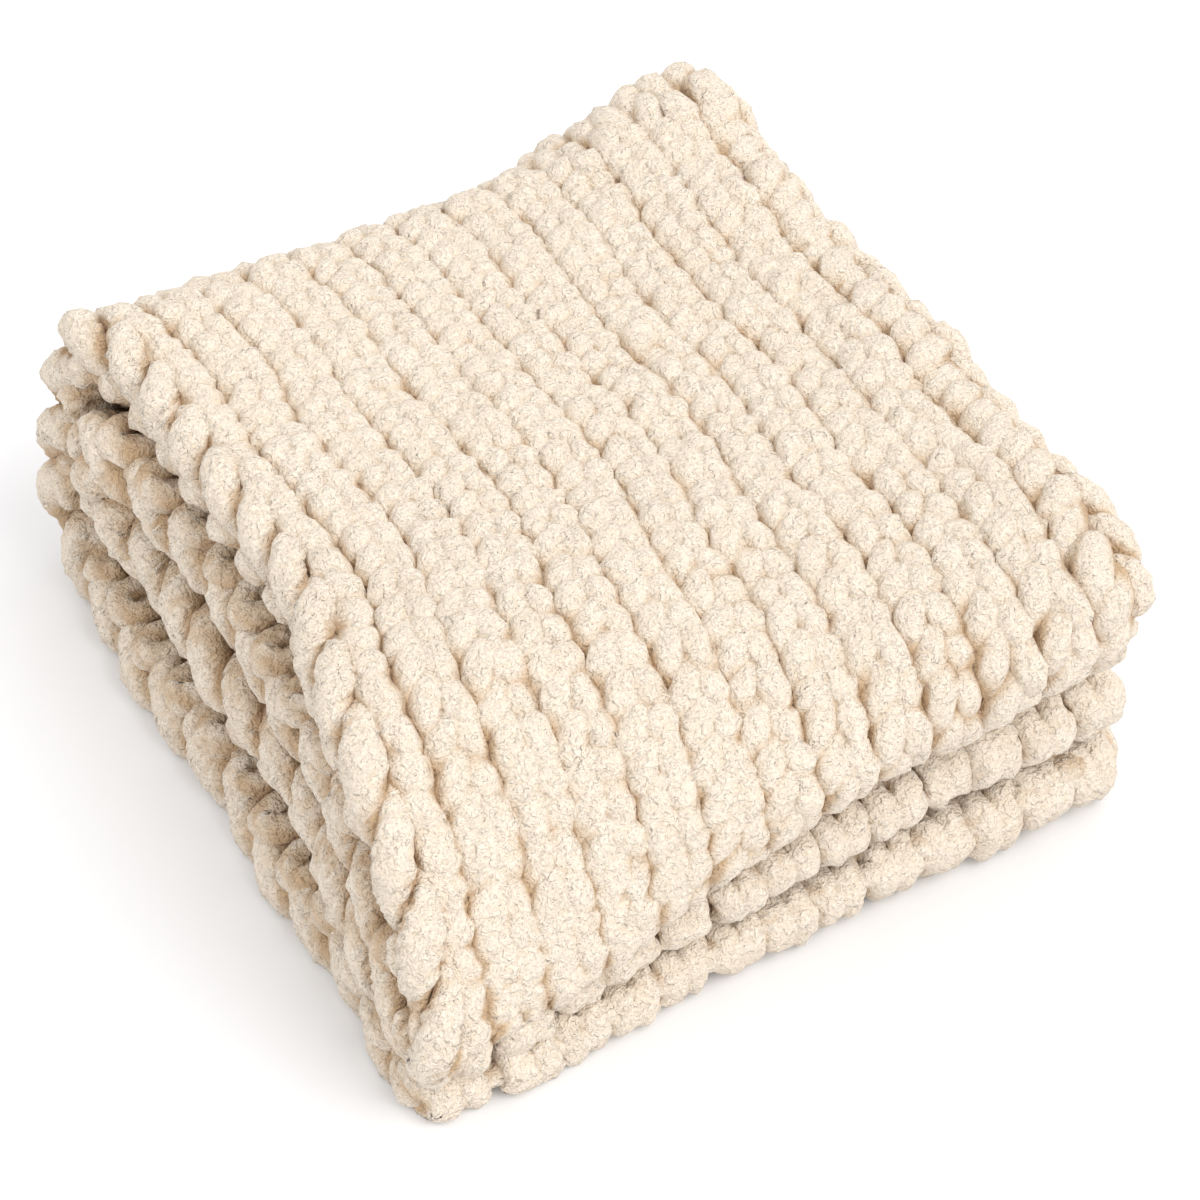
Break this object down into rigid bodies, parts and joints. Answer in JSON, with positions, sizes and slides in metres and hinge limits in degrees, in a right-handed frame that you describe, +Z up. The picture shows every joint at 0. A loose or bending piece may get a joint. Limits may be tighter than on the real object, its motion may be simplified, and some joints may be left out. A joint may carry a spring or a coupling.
{
  "type": "folded chunky knit blanket",
  "caption": "Thick ribbed knit blanket folded in half twice into a soft stack of layers, slumped at one front corner, lying flat.",
  "frame": {"origin": "under the middle of the folded stack, on the surface it rests on", "axes": "+X to the right along the front fold, +Y from the front fold to the back fold along the ribs, +Z up"},
  "size_m": [0.4742, 0.5274, 0.2331],
  "materials": {
    "chenille_knit": "matte, plush pile, cream"
  },
  "bodies": {
    "root": {"knit_blanket": "chenille_knit"}
  },
  "joints": []
}
